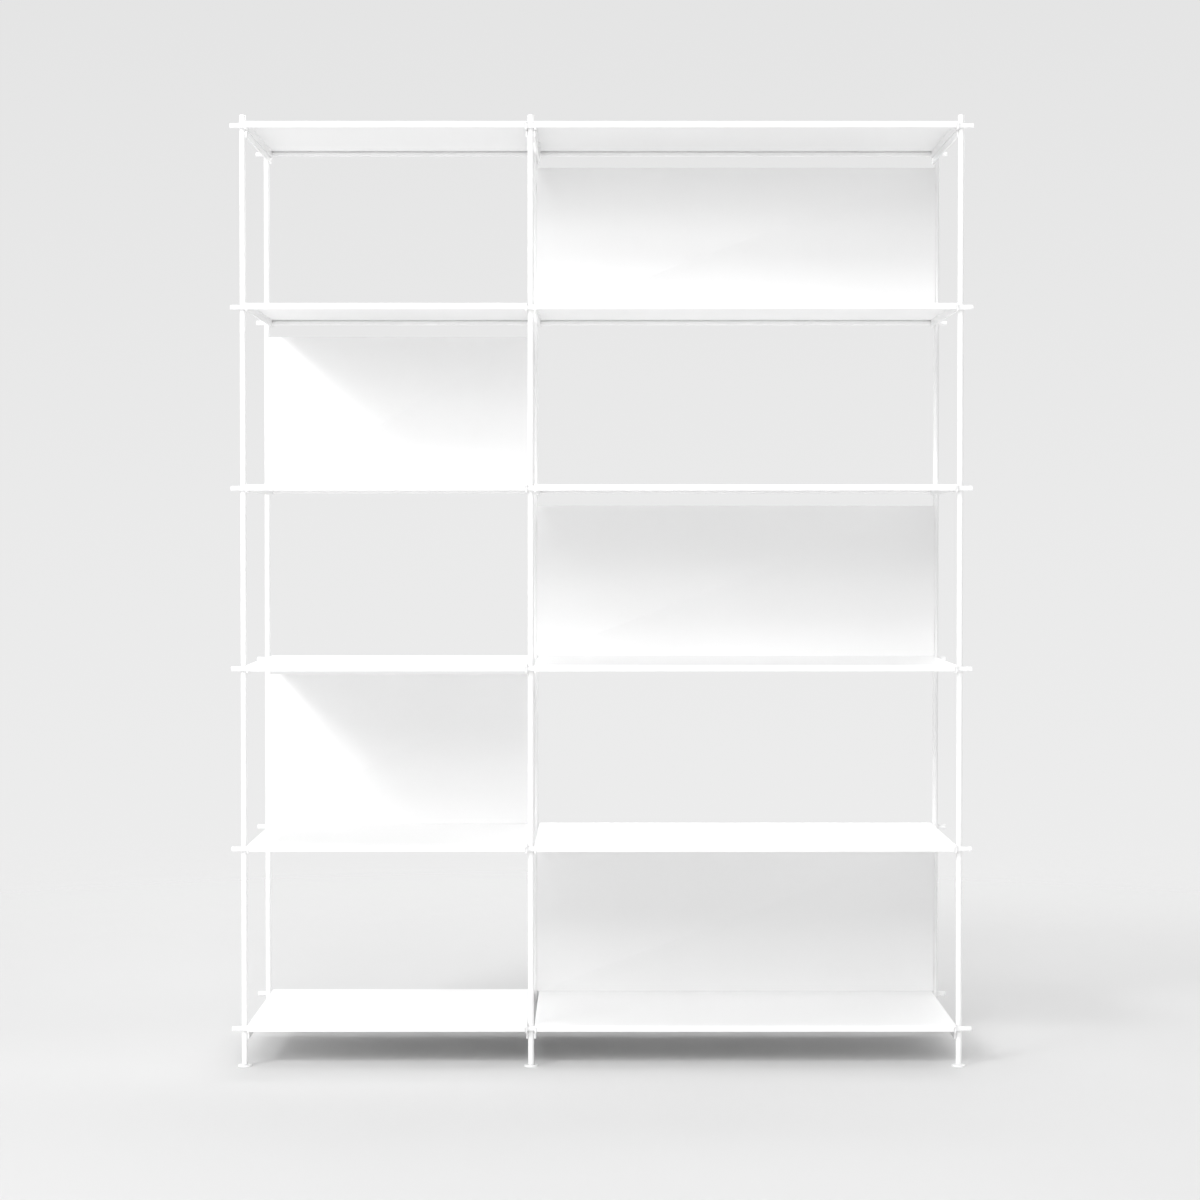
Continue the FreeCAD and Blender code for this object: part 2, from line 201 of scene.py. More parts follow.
def grey(level):
    """A neutral colour at this level of reflected light."""
    return (level, level, level, 1.0)


def powder_coat(name, peel_scale, peel_height, roughness):
    """A baked satin powder coat."""
    finish = Finish(name)
    place = finish.add("ShaderNodeTexCoord", output="Object")
    peel = finish.add("ShaderNodeTexNoise", None, {"Vector": place, "Scale": peel_scale, "Detail": 2.0})
    grain_sockets = {"Vector": place, "Scale": GRAIN_TO_PEEL * peel_scale, "Detail": 1.0}
    grain = finish.add("ShaderNodeTexNoise", None, grain_sockets)
    cloud = finish.add("ShaderNodeTexNoise", None, {"Vector": place, "Scale": CLOUD_SCALE, "Detail": 3.0})
    height = PEEL_SHARE * peel + (1 - PEEL_SHARE) * grain
    relief_sockets = {"Strength": PEEL_STRENGTH, "Distance": peel_height, "Height": height}
    relief = finish.add("ShaderNodeBump", None, relief_sockets, output="Normal")
    thicker = CLOUD_ROUGHNESS * (cloud - NOISE_MIDDLE)
    dimpled = PEEL_ROUGHNESS * (peel - NOISE_MIDDLE)
    surface = finish.add(
        "ShaderNodeBsdfPrincipled",
        None,
        {
            "Base Color": finish.blend_colours(cloud, grey(WHITE - TONE_DRIFT), grey(WHITE + TONE_DRIFT)),
            "Roughness": roughness + thicker + dimpled,
            "Normal": relief,
        },
    )
    return finish.close(surface)


finishes = {}
for slot, name, peel_scale, peel_height, roughness in (
    ("frame_paint", "satin_white_rod_coat", 900.0, 0.03 * MM, 0.36),
    ("shelf_paint", "satin_white_tray_coat", 620.0, 0.04 * MM, 0.42),
    ("panel_paint", "satin_white_panel_coat", 560.0, 0.04 * MM, 0.44),
    ("foot_paint", "satin_white_foot_coat", 1000.0, 0.03 * MM, 0.38),
):
    finishes[slot] = powder_coat(name, peel_scale, peel_height, roughness)
print(len(finishes), "powder coats")

# %% [markdown]
# ## Zinc plate
# The screws, and the clips behind the panels, are zinc plated. Zinc is a metal with a soft, slightly blotchy
# lustre, so the roughness changes in small cells, and fine drawn lines run along the steel strip that a clip
# is bent from.


# %% Make a zinc plate
CRYSTAL_SCALE = 900.0
LINE_SCALES = (3000.0, 3000.0, 60.0)
LINE_DEPTH = 0.02 * MM
CRYSTAL_DARKER = 0.05
CRYSTAL_LIGHTER = 0.03
CRYSTAL_ROUGHNESS = 0.12
LINE_ROUGHNESS = 0.1


def zinc_plate(name, level, roughness, line_strength):
    """A plated steel with a faintly crystalline lustre."""
    finish = Finish(name)
    place = finish.add("ShaderNodeTexCoord", output="Object")
    crystals = finish.add("ShaderNodeTexVoronoi", None, {"Vector": place, "Scale": CRYSTAL_SCALE})
    stretched = finish.add("ShaderNodeMapping", None, {"Vector": place, "Scale": LINE_SCALES})
    lines = finish.add("ShaderNodeTexNoise", None, {"Vector": stretched, "Scale": 1.0, "Detail": 2.0})
    relief_sockets = {"Strength": line_strength, "Distance": LINE_DEPTH, "Height": lines}
    relief = finish.add("ShaderNodeBump", None, relief_sockets, output="Normal")
    darkest, lightest = grey(level - CRYSTAL_DARKER), grey(level + CRYSTAL_LIGHTER)
    surface = finish.add(
        "ShaderNodeBsdfPrincipled",
        None,
        {
            "Base Color": finish.blend_colours(crystals, darkest, lightest),
            "Metallic": 1.0,
            "Roughness": roughness + CRYSTAL_ROUGHNESS * crystals + LINE_ROUGHNESS * (lines - NOISE_MIDDLE),
            "Normal": relief,
        },
    )
    return finish.close(surface)


finishes["clip_steel"] = zinc_plate("zinc_plated_strip", level=0.72, roughness=0.3, line_strength=0.4)
finishes["screw_zinc"] = zinc_plate("zinc_plated_screw", level=0.7, roughness=0.26, line_strength=0.15)
print("zinc for the clips and the screws")

# %% [markdown]
# ## From a bmesh to a piece of the unit
# Every new piece is a bmesh that is closed, has its doubles merged and its normals pointing out. Round
# surfaces are shaded smooth and only real corners stay sharp, which an angle between neighbouring faces tells
# apart.

# %% Turn a bmesh into a dressed piece
SHARP_ANGLE = math.radians(32)
MERGE_DISTANCE = 0.002 * MM


def tidy(mesh):
    """Merge doubles, point the faces outwards and mark the real corners as sharp."""
    bmesh.ops.remove_doubles(mesh, verts=mesh.verts, dist=MERGE_DISTANCE)
    bmesh.ops.recalc_face_normals(mesh, faces=mesh.faces)
    for face in mesh.faces:
        face.smooth = True
    for edge in mesh.edges:
        edge.smooth = edge.is_manifold and edge.calc_face_angle(0.0) < SHARP_ANGLE


def finish_piece(name, mesh, body, slot, replaced=None, material=None):
    """Make an object of a bmesh, and let it ride on its body in place of a CAD node."""
    tidy(mesh)
    data = bpy.data.meshes.new(name)
    mesh.to_mesh(data)
    mesh.free()
    data.materials.append(finishes[material or slot])
    piece = bpy.data.objects.new(name, data)
    bpy.context.scene.collection.objects.link(piece)
    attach(piece, body)
    if replaced:
        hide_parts(replaced)
    return piece


def join_into(mesh, extra):
    """Add one bmesh to another and free it."""
    scratch = bpy.data.meshes.new("scratch")
    extra.to_mesh(scratch)
    extra.free()
    mesh.from_mesh(scratch)
    bpy.data.meshes.remove(scratch)


print("pieces keep corners above", round(math.degrees(SHARP_ANGLE)), "degrees sharp")

# %% [markdown]
# ## Turned pieces
# A rod or a foot is what a lathe makes: one outline turned round an axis. `bmesh.ops.spin` does exactly that.
# The rounded ends are arcs in the outline, so they come out truly round.

# %% Spin an outline round an axis
ROD_STEPS = 48
END_STEPS = 6
QUARTER = math.pi / 2
FULL_TURN = 2 * math.pi


def arc(centre, radius, start, end, steps):
    """Points of an arc in the plane of an outline, both ends included."""
    angles = [start + (end - start) * step / steps for step in range(steps + 1)]
    return [(centre[0] + radius * math.cos(a), centre[1] + radius * math.sin(a)) for a in angles]


def chain(mesh, points):
    """A chain of edges through 3-D points."""
    verts = [mesh.verts.new(point) for point in points]
    edges = [mesh.edges.new(pair) for pair in zip(verts, verts[1:])]
    return verts, edges


def turn_outline(mesh, outline, steps=ROD_STEPS):
    """Spin an outline of (radius, height) points round the Z axis."""
    verts, edges = chain(mesh, [(radius, 0.0, height) for radius, height in outline])
    bmesh.ops.spin(
        mesh,
        geom=verts + edges,
        cent=(0, 0, 0),
        axis=(0, 0, 1),
        angle=FULL_TURN,
        steps=steps,
        use_merge=True,
    )
    bmesh.ops.remove_doubles(mesh, verts=mesh.verts, dist=MERGE_DISTANCE)


def rounded_end(radius, top, rounding, steps=END_STEPS):
    """The end of a rod's outline: up its side, round the corner and in to the axis."""
    return arc((radius - rounding, top - rounding), rounding, 0.0, QUARTER, steps) + [(0.0, top)]


print("rods are turned in", ROD_STEPS, "steps")

# %% [markdown]
# ## Posts
# Each post is a drawn steel rod with a rounded top and a bore for the stud of its foot in the lower end. The
# outline starts inside the bore, goes out round the mouth and up the side, so one spin makes the whole post.

# %% Turn the six posts
POST_TOP_ROUND = 2.0 * MM
POST_MOUTH_CHAMFER = 0.4 * MM
BORE_RADIUS = 3.0 * MM
BORE_DEPTH = 30.0 * MM

for (row, post), centre in post_middle.items():
    node = f"{row}_{post}_post"
    low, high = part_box(node)
    length = high.z - low.z
    outline = [
        (0.0, BORE_DEPTH),
        (BORE_RADIUS, BORE_DEPTH),
        (BORE_RADIUS, 0.0),
        (post_radius - POST_MOUTH_CHAMFER, 0.0),
        (post_radius, POST_MOUTH_CHAMFER),
    ] + rounded_end(post_radius, length, POST_TOP_ROUND)
    mesh = bmesh.new()
    turn_outline(mesh, outline)
    bmesh.ops.translate(mesh, verts=mesh.verts, vec=(centre.x, centre.y, low.z))
    finish_piece(f"{node}_rod", mesh, "frame", "frame_paint", node)
print(len(post_middle), "posts turned")

# %% [markdown]
# ## Crossbars
# The crossbars are thinner rods, cut to length and tumbled, so their ends are lightly rounded. They are spun
# upright like the posts and then laid along X with one rotation.

# %% Turn the twelve crossbars
BAR_END_ROUND = 0.9 * MM
BAR_END_STEPS = 4


def mirrored_outline(outline):
    """An outline of the upper half of a piece, completed with its lower half."""
    return [(radius, -height) for radius, height in reversed(outline)] + outline


for (row, level), centre in bar_middle.items():
    node = f"{row}_crossbar_{level}"
    half_outline = rounded_end(bar_radius, size_of(node).x / 2, BAR_END_ROUND, BAR_END_STEPS)
    mesh = bmesh.new()
    turn_outline(mesh, mirrored_outline(half_outline))
    bmesh.ops.rotate(mesh, verts=mesh.verts, cent=(0, 0, 0), matrix=Matrix.Rotation(QUARTER, 3, "Y"))
    bmesh.ops.translate(mesh, verts=mesh.verts, vec=centre)
    finish_piece(f"{node}_rod", mesh, "frame", "frame_paint", node)
print(len(bar_middle), "crossbars turned")

# %% [markdown]
# ## Welds at the crossings
# Where a crossbar lies across a post, the two are pressed together hot and melt into each other at one spot.
# A small bead is squeezed out round that spot, in the wedge between the rods. It is a short disc with a
# narrower waist, so its outline is spun like a rod's and then tipped to point from the post to the crossbar.

# %% Weld every crossing
WELD_RADIUS = 2.7 * MM
WELD_HALF_LENGTH = 1.1 * MM
WELD_WAIST_RADIUS = 2.49 * MM
WELD_STEPS = 20


def make_bead():
    """One waisted bead along the Y axis, with its middle on the origin."""
    bead = bmesh.new()
    half_outline = [
        (WELD_WAIST_RADIUS, WELD_HALF_LENGTH / 2),
        (WELD_RADIUS, WELD_HALF_LENGTH),
        (0.0, WELD_HALF_LENGTH),
    ]
    turn_outline(bead, mirrored_outline(half_outline), WELD_STEPS)
    bmesh.ops.rotate(bead, verts=bead.verts, cent=(0, 0, 0), matrix=Matrix.Rotation(QUARTER, 3, "X"))
    return bead


for row in ROW_NAMES:
    mesh = bmesh.new()
    for post in POST_NAMES:
        for level in LEVELS:
            post_centre = post_middle[row, post]
            bar_centre = bar_middle[row, level]
            towards_bar = math.copysign(post_radius, bar_centre.y - post_centre.y)
            contact = (post_centre.x, post_centre.y + towards_bar, bar_centre.z)
            bead = make_bead()
            bmesh.ops.translate(bead, verts=bead.verts, vec=contact)
            join_into(mesh, bead)
    finish_piece(f"{row}_crossing_welds", mesh, "frame", "frame_paint")
print(2 * len(POST_NAMES) * len(LEVELS), "crossings welded")

# %% [markdown]
# ## Levelling feet
# A foot is a flat steel disc on a threaded stud, which stands in the post's bore. It is one outline turned
# round the stud's axis: the sole with its small edge radius, the rim, the bevelled upper edge, and the stud.
# The thread is out of sight in the bore, so the stud is left plain.

# %% Turn the six feet
FOOT_STEPS = 64
SOLE_ROUND = 0.5 * MM
FOOT_BEVEL = 0.9 * MM
STUD_RADIUS = 2.95 * MM
STUD_CHAMFER = 0.8 * MM
DISC_THICKNESS = 3.0 * MM
FOOT_EDGE_STEPS = 4

for row in ROW_NAMES:
    for post in POST_NAMES:
        node = f"{row}_{post}_foot"
        low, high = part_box(node)
        rim = (high.x - low.x) / 2
        outline = [(0.0, 0.0)]
        outline += arc((rim - SOLE_ROUND, SOLE_ROUND), SOLE_ROUND, -QUARTER, 0.0, FOOT_EDGE_STEPS)
        bevel_centre = (rim - FOOT_BEVEL, DISC_THICKNESS - FOOT_BEVEL)
        outline += arc(bevel_centre, FOOT_BEVEL, 0.0, QUARTER, FOOT_EDGE_STEPS)
        outline += [
            (STUD_RADIUS, DISC_THICKNESS),
            (STUD_RADIUS, high.z - STUD_CHAMFER),
            (STUD_RADIUS - STUD_CHAMFER, high.z),
            (0.0, high.z),
        ]
        mesh = bmesh.new()
        turn_outline(mesh, outline, FOOT_STEPS)
        centre = middle_of(node)
        bmesh.ops.translate(mesh, verts=mesh.verts, vec=(centre.x, centre.y, 0.0))
        finish_piece(f"{node}_turned", mesh, node, "foot_paint", node)
print(len(ROW_NAMES) * len(POST_NAMES), "feet turned")

# %% [markdown]
# ## Folded shelf trays
# A shelf is one sheet with its front and rear edge folded down. Its profile is a line with two round bends.
# Pulling that line along X gives the sheet as a single skin, two cuts near the ends let the short lips be
# taken back from the corners, and `solidify` gives the skin the thickness of the sheet.

# %% Fold one tray
SHELF_SHEET = 1.5 * MM
BEND_INNER = 1.5 * MM
BEND_STEPS = 7
LIP_SET_BACK = 3.7 * MM
LIP_HEIGHT = 10.0 * MM
EDGE_BREAK = 0.18 * MM
CORNER_ANGLE = QUARTER / 2
CORNER_SEGMENTS = 2


def soften(mesh, width):
    """Round the real corners of a closed piece."""
    corners = [edge for edge in mesh.edges if edge.is_manifold and edge.calc_face_angle(0.0) > CORNER_ANGLE]
    bmesh.ops.bevel(
        mesh,
        geom=corners,
        offset=width,
        offset_type="OFFSET",
        segments=CORNER_SEGMENTS,
        profile=0.5,
        affect="EDGES",
        material=-1,
        clamp_overlap=True,
    )


def fold_tray(low, high):
    """The folded sheet of one shelf between the corners of its CAD node's box."""
    mesh = bmesh.new()
    top = high.z
    lip_bottom = top - LIP_HEIGHT
    outer = BEND_INNER + SHELF_SHEET
    profile = [(low.y, lip_bottom)]
    profile += arc((low.y + outer, top - outer), outer, 2 * QUARTER, QUARTER, BEND_STEPS)
    profile += arc((high.y - outer, top - outer), outer, QUARTER, 0.0, BEND_STEPS)
    profile += [(high.y, lip_bottom)]
    verts, edges = chain(mesh, [(low.x, y, z) for y, z in profile])
    pulled = bmesh.ops.extrude_edge_only(mesh, edges=edges)["geom"]
    moved = [item for item in pulled if isinstance(item, bmesh.types.BMVert)]
    bmesh.ops.translate(mesh, verts=moved, vec=(high.x - low.x, 0, 0))
    for lip_end in (low.x + LIP_SET_BACK, high.x - LIP_SET_BACK):
        everything = mesh.verts[:] + mesh.edges[:] + mesh.faces[:]
        bmesh.ops.bisect_plane(mesh, geom=everything, plane_co=(lip_end, 0, 0), plane_no=(1, 0, 0))
    corners = []
    for face in mesh.faces:
        centre = face.calc_center_median()
        past_lip = not low.x + LIP_SET_BACK < centre.x < high.x - LIP_SET_BACK
        if past_lip and centre.z < top - outer:
            corners.append(face)
    bmesh.ops.delete(mesh, geom=corners, context="FACES")
    bmesh.ops.recalc_face_normals(mesh, faces=mesh.faces)
    upward = max(mesh.faces, key=lambda face: face.calc_area())
    if upward.normal.z < 0:
        bmesh.ops.reverse_faces(mesh, faces=mesh.faces)
    bmesh.ops.solidify(mesh, geom=mesh.faces[:], thickness=SHELF_SHEET)
    bmesh.ops.recalc_face_normals(mesh, faces=mesh.faces)
    soften(mesh, EDGE_BREAK)
    return mesh


trial = fold_tray(*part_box("left_shelf_1"))
box_low = Vector([min(v.co[axis] for v in trial.verts) for axis in range(3)])
box_high = Vector([max(v.co[axis] for v in trial.verts) for axis in range(3)])
print("tray", [round(length / MM, 2) for length in box_high - box_low], "mm, faces", len(trial.faces))
trial.free()

# %% [markdown]
# ## End plates that hook over the crossbars
# Under each end of a tray stands a plate, cut from thicker sheet, with a round-roofed hook over each
# crossbar. Its outline is walked once round as points and arcs, filled as one face and pulled out to its
# thickness.

# %% Cut the end plates
END_PLATE = 3.0 * MM
PLATE_GAP = 0.5 * MM
PLATE_CORNER = 2.8 * MM
HOOK_CLEARANCE = 0.2 * MM
MOUTH_ROUND = 1.2 * MM
HOOK_STEPS = 16
CORNER_STEPS = 5


def hook_outline(bar_y, bar_z, bottom):
    """One hook, walked from its rear mouth over the crossbar to its front mouth."""
    reach = bar_radius + HOOK_CLEARANCE
    mouth_z = bottom + MOUTH_ROUND
    rear = (bar_y + reach + MOUTH_ROUND, mouth_z)
    front = (bar_y - reach - MOUTH_ROUND, mouth_z)
    rear_mouth = arc(rear, MOUTH_ROUND, 3 * QUARTER, 2 * QUARTER, CORNER_STEPS)
    roof = arc((bar_y, bar_z), reach, 0.0, 2 * QUARTER, HOOK_STEPS)
    front_mouth = arc(front, MOUTH_ROUND, 0.0, -QUARTER, CORNER_STEPS)
    return rear_mouth + roof + front_mouth


def plate_outline(low, high, level):
    """The outline of an end plate as (depth, height) points."""
    sheet_under = high.z - SHELF_SHEET
    front = low.y + SHELF_SHEET + PLATE_GAP
    rear = high.y - SHELF_SHEET - PLATE_GAP
    bottom = low.z
    bar_z = bar_middle["front", level].z
    rear_corner = (rear - PLATE_CORNER, bottom + PLATE_CORNER)
    front_corner = (front + PLATE_CORNER, bottom + PLATE_CORNER)
    points = [(front, sheet_under), (rear, sheet_under)]
    points += arc(rear_corner, PLATE_CORNER, 0.0, -QUARTER, CORNER_STEPS)
    points += hook_outline(bar_middle["rear", level].y, bar_z, bottom)
    points += hook_outline(bar_middle["front", level].y, bar_z, bottom)
    points += arc(front_corner, PLATE_CORNER, -QUARTER, -2 * QUARTER, CORNER_STEPS)
    return points


def pull_outline(mesh, points, thickness):
    """Fill a closed outline of 3-D points and pull the face out along a vector."""
    verts = [mesh.verts.new(point) for point in points]
    face = mesh.faces.new(verts)
    pulled = bmesh.ops.extrude_face_region(mesh, geom=[face])["geom"]
    moved = [item for item in pulled if isinstance(item, bmesh.types.BMVert)]
    bmesh.ops.translate(mesh, verts=moved, vec=thickness)


def add_end_plates(mesh, low, high, level):
    """Both end plates of one shelf."""
    outline = plate_outline(low, high, level)
    for start, thickness in ((low.x, END_PLATE), (high.x, -END_PLATE)):
        plate = bmesh.new()
        pull_outline(plate, [(start, y, z) for y, z in outline], (thickness, 0, 0))
        bmesh.ops.recalc_face_normals(plate, faces=plate.faces)
        soften(plate, EDGE_BREAK)
        join_into(mesh, plate)


print("each end plate has 2 hooks with", HOOK_STEPS, "steps over the crossbar")

# %% [markdown]
# ## Weld stitches under the trays
# The plates are stitch welded to the sheet from the inside: short beads with gaps between them. A bead is a
# quarter-round strip, and its surface is rippled where the weld pool froze in steps.

# %% Lay the weld stitches and assemble the shelves
STITCH_LEG = 2.0 * MM
STITCH_LENGTH = 26.0 * MM
STITCH_COUNT = 5
STITCH_RIPPLES = 13
RIPPLE_DEPTH = 0.22 * MM
STITCH_END_DEPTH = 0.66 * MM
STITCH_ARC_STEPS = 4


def add_stitch(mesh, corner_x, inwards, y, z):
    """One rippled bead in the corner between a plate and the sheet over it."""
    bead = bmesh.new()
    sections = 2 * STITCH_RIPPLES
    start_y = y - STITCH_LENGTH / 2
    section = [(0.0, 0.0)] + arc((0.0, 0.0), STITCH_LEG, 0.0, -QUARTER, STITCH_ARC_STEPS)
    verts = [bead.verts.new((corner_x + inwards * x, start_y, z + height)) for x, height in section]
    front = bead.faces.new(verts)
    for _ in range(sections):
        pulled = bmesh.ops.extrude_face_region(bead, geom=[front])["geom"]
        front = [item for item in pulled if isinstance(item, bmesh.types.BMFace)][0]
        bmesh.ops.translate(bead, verts=front.verts, vec=(0, STITCH_LENGTH / sections, 0))
    for vert in bead.verts:
        offset = Vector((vert.co.x - corner_x, 0, vert.co.z - z))
        on_surface = offset.length > STITCH_LEG / 2
        if on_surface:
            step = round((vert.co.y - start_y) / STITCH_LENGTH * sections)
            if step % 2:
                vert.co -= offset.normalized() * RIPPLE_DEPTH
            elif step in (0, sections):
                vert.co -= offset.normalized() * STITCH_END_DEPTH
    join_into(mesh, bead)


for bay in BAY_NAMES:
    for level in LEVELS:
        node = f"{bay}_shelf_{level}"
        low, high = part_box(node)
        mesh = fold_tray(low, high)
        add_end_plates(mesh, low, high, level)
        stitch_z = high.z - SHELF_SHEET
        span = bar_middle["rear", level].y - bar_middle["front", level].y
        for stitch in range(STITCH_COUNT):
            y = span * ((stitch + 0.5) / STITCH_COUNT - 0.5)
            add_stitch(mesh, low.x + END_PLATE, 1, y, stitch_z)
            add_stitch(mesh, high.x - END_PLATE, -1, y, stitch_z)
        piece = finish_piece(f"{node}_tray", mesh, nodes[node]["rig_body"], "shelf_paint", node)
print(len(BAY_NAMES) * len(LEVELS), "shelves, each", len(piece.data.polygons), "faces")

# %% [markdown]
# ## Ties with countersunk holes
# A tie is a flat bar with a rounded outline and one countersunk hole over each post. `triangle_fill` fills
# the area between the outline and the hole rims in one go, and bevelling the rim of a hole makes its
# countersink.

# %% Cut the eight ties
TIE_CORNER = 2.0 * MM
HOLE_RADIUS = 2.15 * MM
SINK = 1.65 * MM
HOLE_STEPS = 32
RIM_REACH = 1.1 * HOLE_RADIUS


def ring(mesh, centre, radius, steps, axis_x):
    """A closed ring of edges round the X direction."""
    points = arc((centre.y, centre.z), radius, 0.0, FULL_TURN, steps)[:-1]
    verts = [mesh.verts.new((axis_x, y, z)) for y, z in points]
    return [mesh.edges.new((verts[i], verts[(i + 1) % steps])) for i in range(steps)]


def closed_chain(mesh, points):
    """A closed chain of edges."""
    verts, edges = chain(mesh, points)
    return edges + [mesh.edges.new((verts[-1], verts[0]))]


tie_nodes = sorted(name for name in nodes if name.endswith("_tie"))
screw_places = []
for node in tie_nodes:
    low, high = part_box(node)
    post = min(post_middle.values(), key=lambda centre: abs(centre.x - (low.x + high.x) / 2))
    outwards = math.copysign(1, (low.x + high.x) / 2 - post.x)
    inner_x, outer_x = (low.x, high.x) if outwards > 0 else (high.x, low.x)
    corners = []
    for y, z, start in (
        (high.y - TIE_CORNER, high.z - TIE_CORNER, 0),
        (low.y + TIE_CORNER, high.z - TIE_CORNER, 1),
        (low.y + TIE_CORNER, low.z + TIE_CORNER, 2),
        (high.y - TIE_CORNER, low.z + TIE_CORNER, 3),
    ):
        corners += arc((y, z), TIE_CORNER, start * QUARTER, (start + 1) * QUARTER, CORNER_STEPS)
    mesh = bmesh.new()
    edges = closed_chain(mesh, [(inner_x, y, z) for y, z in corners])
    holes = [Vector((inner_x, sign * abs(post.y), (low.z + high.z) / 2)) for sign in (-1, 1)]
    for hole in holes:
        edges += ring(mesh, hole, HOLE_RADIUS, HOLE_STEPS, inner_x)
        screw_places.append((outer_x, hole.y, hole.z, outwards))
    bmesh.ops.triangle_fill(mesh, edges=edges, use_beauty=True)
    pulled = bmesh.ops.extrude_face_region(mesh, geom=mesh.faces[:])["geom"]
    moved = [item for item in pulled if isinstance(item, bmesh.types.BMVert)]
    bmesh.ops.translate(mesh, verts=moved, vec=(outer_x - inner_x, 0, 0))
    bmesh.ops.recalc_face_normals(mesh, faces=mesh.faces)
    rims = []
    for edge in mesh.edges:
        at_face = all(abs(vert.co.x - outer_x) < MERGE_DISTANCE for vert in edge.verts)
        middle = (edge.verts[0].co + edge.verts[1].co) / 2
        near_hole = min((middle - hole).yz.length for hole in holes) < RIM_REACH
        if at_face and near_hole and edge.calc_face_angle(0.0) > SHARP_ANGLE:
            rims.append(edge)
    bmesh.ops.bevel(
        mesh,
        geom=rims,
        offset=SINK,
        offset_type="OFFSET",
        segments=1,
        profile=0.5,
        affect="EDGES",
        material=-1,
    )
    finish_piece(f"{node}_bar", mesh, "frame", "frame_paint", node)
print(len(tie_nodes), "ties,", len(screw_places), "screw holes")

# %% [markdown]
# ## Countersunk socket screws
# Each tie is held by a small countersunk screw with a hexagon socket. The body is turned like a rod, from the
# shank up the cone to a flat head. The head's face is filled between its rim and a hexagon, and the hexagon
# is pushed in to make the socket.

# %% Turn one screw and set it in every hole
HEAD_RADIUS = 3.72 * MM
HEAD_CONE = 1.6 * MM
HEAD_RIM = 0.25 * MM
SHANK_RADIUS = 1.95 * MM
SHANK_LENGTH = 7.0 * MM
SOCKET_RADIUS = 1.45 * MM
SOCKET_DEPTH = 1.3 * MM
SOCKET_SIDES = 6
SCREW_STEPS = 24
HEAD_BELOW_FACE = 0.08 * MM


def make_screw():
    """One screw with its head's face on the origin and its shank along -Z."""
    mesh = bmesh.new()
    outline = [
        (0.0, -SHANK_LENGTH),
        (SHANK_RADIUS, -SHANK_LENGTH),
        (SHANK_RADIUS, -HEAD_CONE - HEAD_RIM),
        (HEAD_RADIUS, -HEAD_RIM),
        (HEAD_RADIUS, 0.0),
    ]
    turn_outline(mesh, outline, SCREW_STEPS)
    rim = [edge for edge in mesh.edges if edge.is_boundary]
    corners = arc((0, 0), SOCKET_RADIUS, 0.0, FULL_TURN, SOCKET_SIDES)[:-1]
    hexagon = closed_chain(mesh, [(x, y, 0.0) for x, y in corners])
    bmesh.ops.triangle_fill(mesh, edges=rim + hexagon, use_beauty=True)
    walls = bmesh.ops.extrude_edge_only(mesh, edges=hexagon)["geom"]
    moved = [item for item in walls if isinstance(item, bmesh.types.BMVert)]
    bmesh.ops.translate(mesh, verts=moved, vec=(0, 0, -SOCKET_DEPTH))
    floor_edges = [item for item in walls if isinstance(item, bmesh.types.BMEdge)]
    bmesh.ops.contextual_create(mesh, geom=[edge for edge in floor_edges if edge.is_boundary])
    bmesh.ops.recalc_face_normals(mesh, faces=mesh.faces)
    return mesh


screws = bmesh.new()
for x, y, z, outwards in screw_places:
    screw = make_screw()
    turn = Matrix.Rotation(outwards * QUARTER, 3, "Y")
    bmesh.ops.rotate(screw, verts=screw.verts, cent=(0, 0, 0), matrix=turn)
    bmesh.ops.translate(screw, verts=screw.verts, vec=(x - outwards * HEAD_BELOW_FACE, y, z))
    join_into(screws, screw)
finish_piece("tie_screws", screws, "frame", "clip_steel", material="screw_zinc")
print(len(screw_places), "screws set")

# %% [markdown]
# ## Back panels
# A back panel is a flat sheet with rounded corners. A cube is scaled to its size, its four corner edges are
# bevelled with a wide radius and the remaining edges with a very small one, as deburred and coated sheet has.

# %% Cut the five back panels
PANEL_CORNER = 2.5 * MM
PANEL_EDGE = 0.4 * MM
PANEL_CORNER_STEPS = 6
ALONG_Y = 0.99

panel_nodes = sorted(name for name in nodes if "_panel_" in name and not name.endswith("_clips"))
for node in panel_nodes:
    low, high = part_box(node)
    mesh = bmesh.new()
    bmesh.ops.create_cube(mesh, size=1.0)
    bmesh.ops.scale(mesh, verts=mesh.verts, vec=high - low)
    bmesh.ops.translate(mesh, verts=mesh.verts, vec=(low + high) / 2)
    corner_edges = []
    for edge in mesh.edges:
        run = (edge.verts[0].co - edge.verts[1].co).normalized()
        if abs(run.y) > ALONG_Y:
            corner_edges.append(edge)
    bmesh.ops.bevel(
        mesh,
        geom=corner_edges,
        offset=PANEL_CORNER,
        offset_type="OFFSET",
        segments=PANEL_CORNER_STEPS,
        profile=0.5,
        affect="EDGES",
        material=-1,
    )
    soften(mesh, PANEL_EDGE)
    finish_piece(f"{node}_sheet", mesh, "frame", "panel_paint", node)
print(len(panel_nodes), "panels cut")

# %% [markdown]
# ## CAD pieces that stay
# The clips behind the panels have the right shape already: strip bent at right angles. They keep their CAD
# mesh and only get their zinc plate.

# %% Plate the clips
clip_nodes = [name for name in nodes if name.endswith("_clips")]
for name in clip_nodes:
    nodes[name].data.materials.clear()
    nodes[name].data.materials.append(finishes["clip_steel"])
print(len(clip_nodes), "clip nodes plated")

# %% [markdown]
# ## Floor and surroundings
# The unit stands on a wide pale floor that runs into an equally pale background. Near the unit the floor is
# an ordinary matt surface, so it takes the unit's soft shadow. Further away the Light Path node lets the
# camera and gloss see through it to the background, so no edge shows, while the light still bounces off the
# whole floor. The same node gives the floor two tones: a greyer one that is seen, and a paler one for the
# light that it throws back up at the unit.

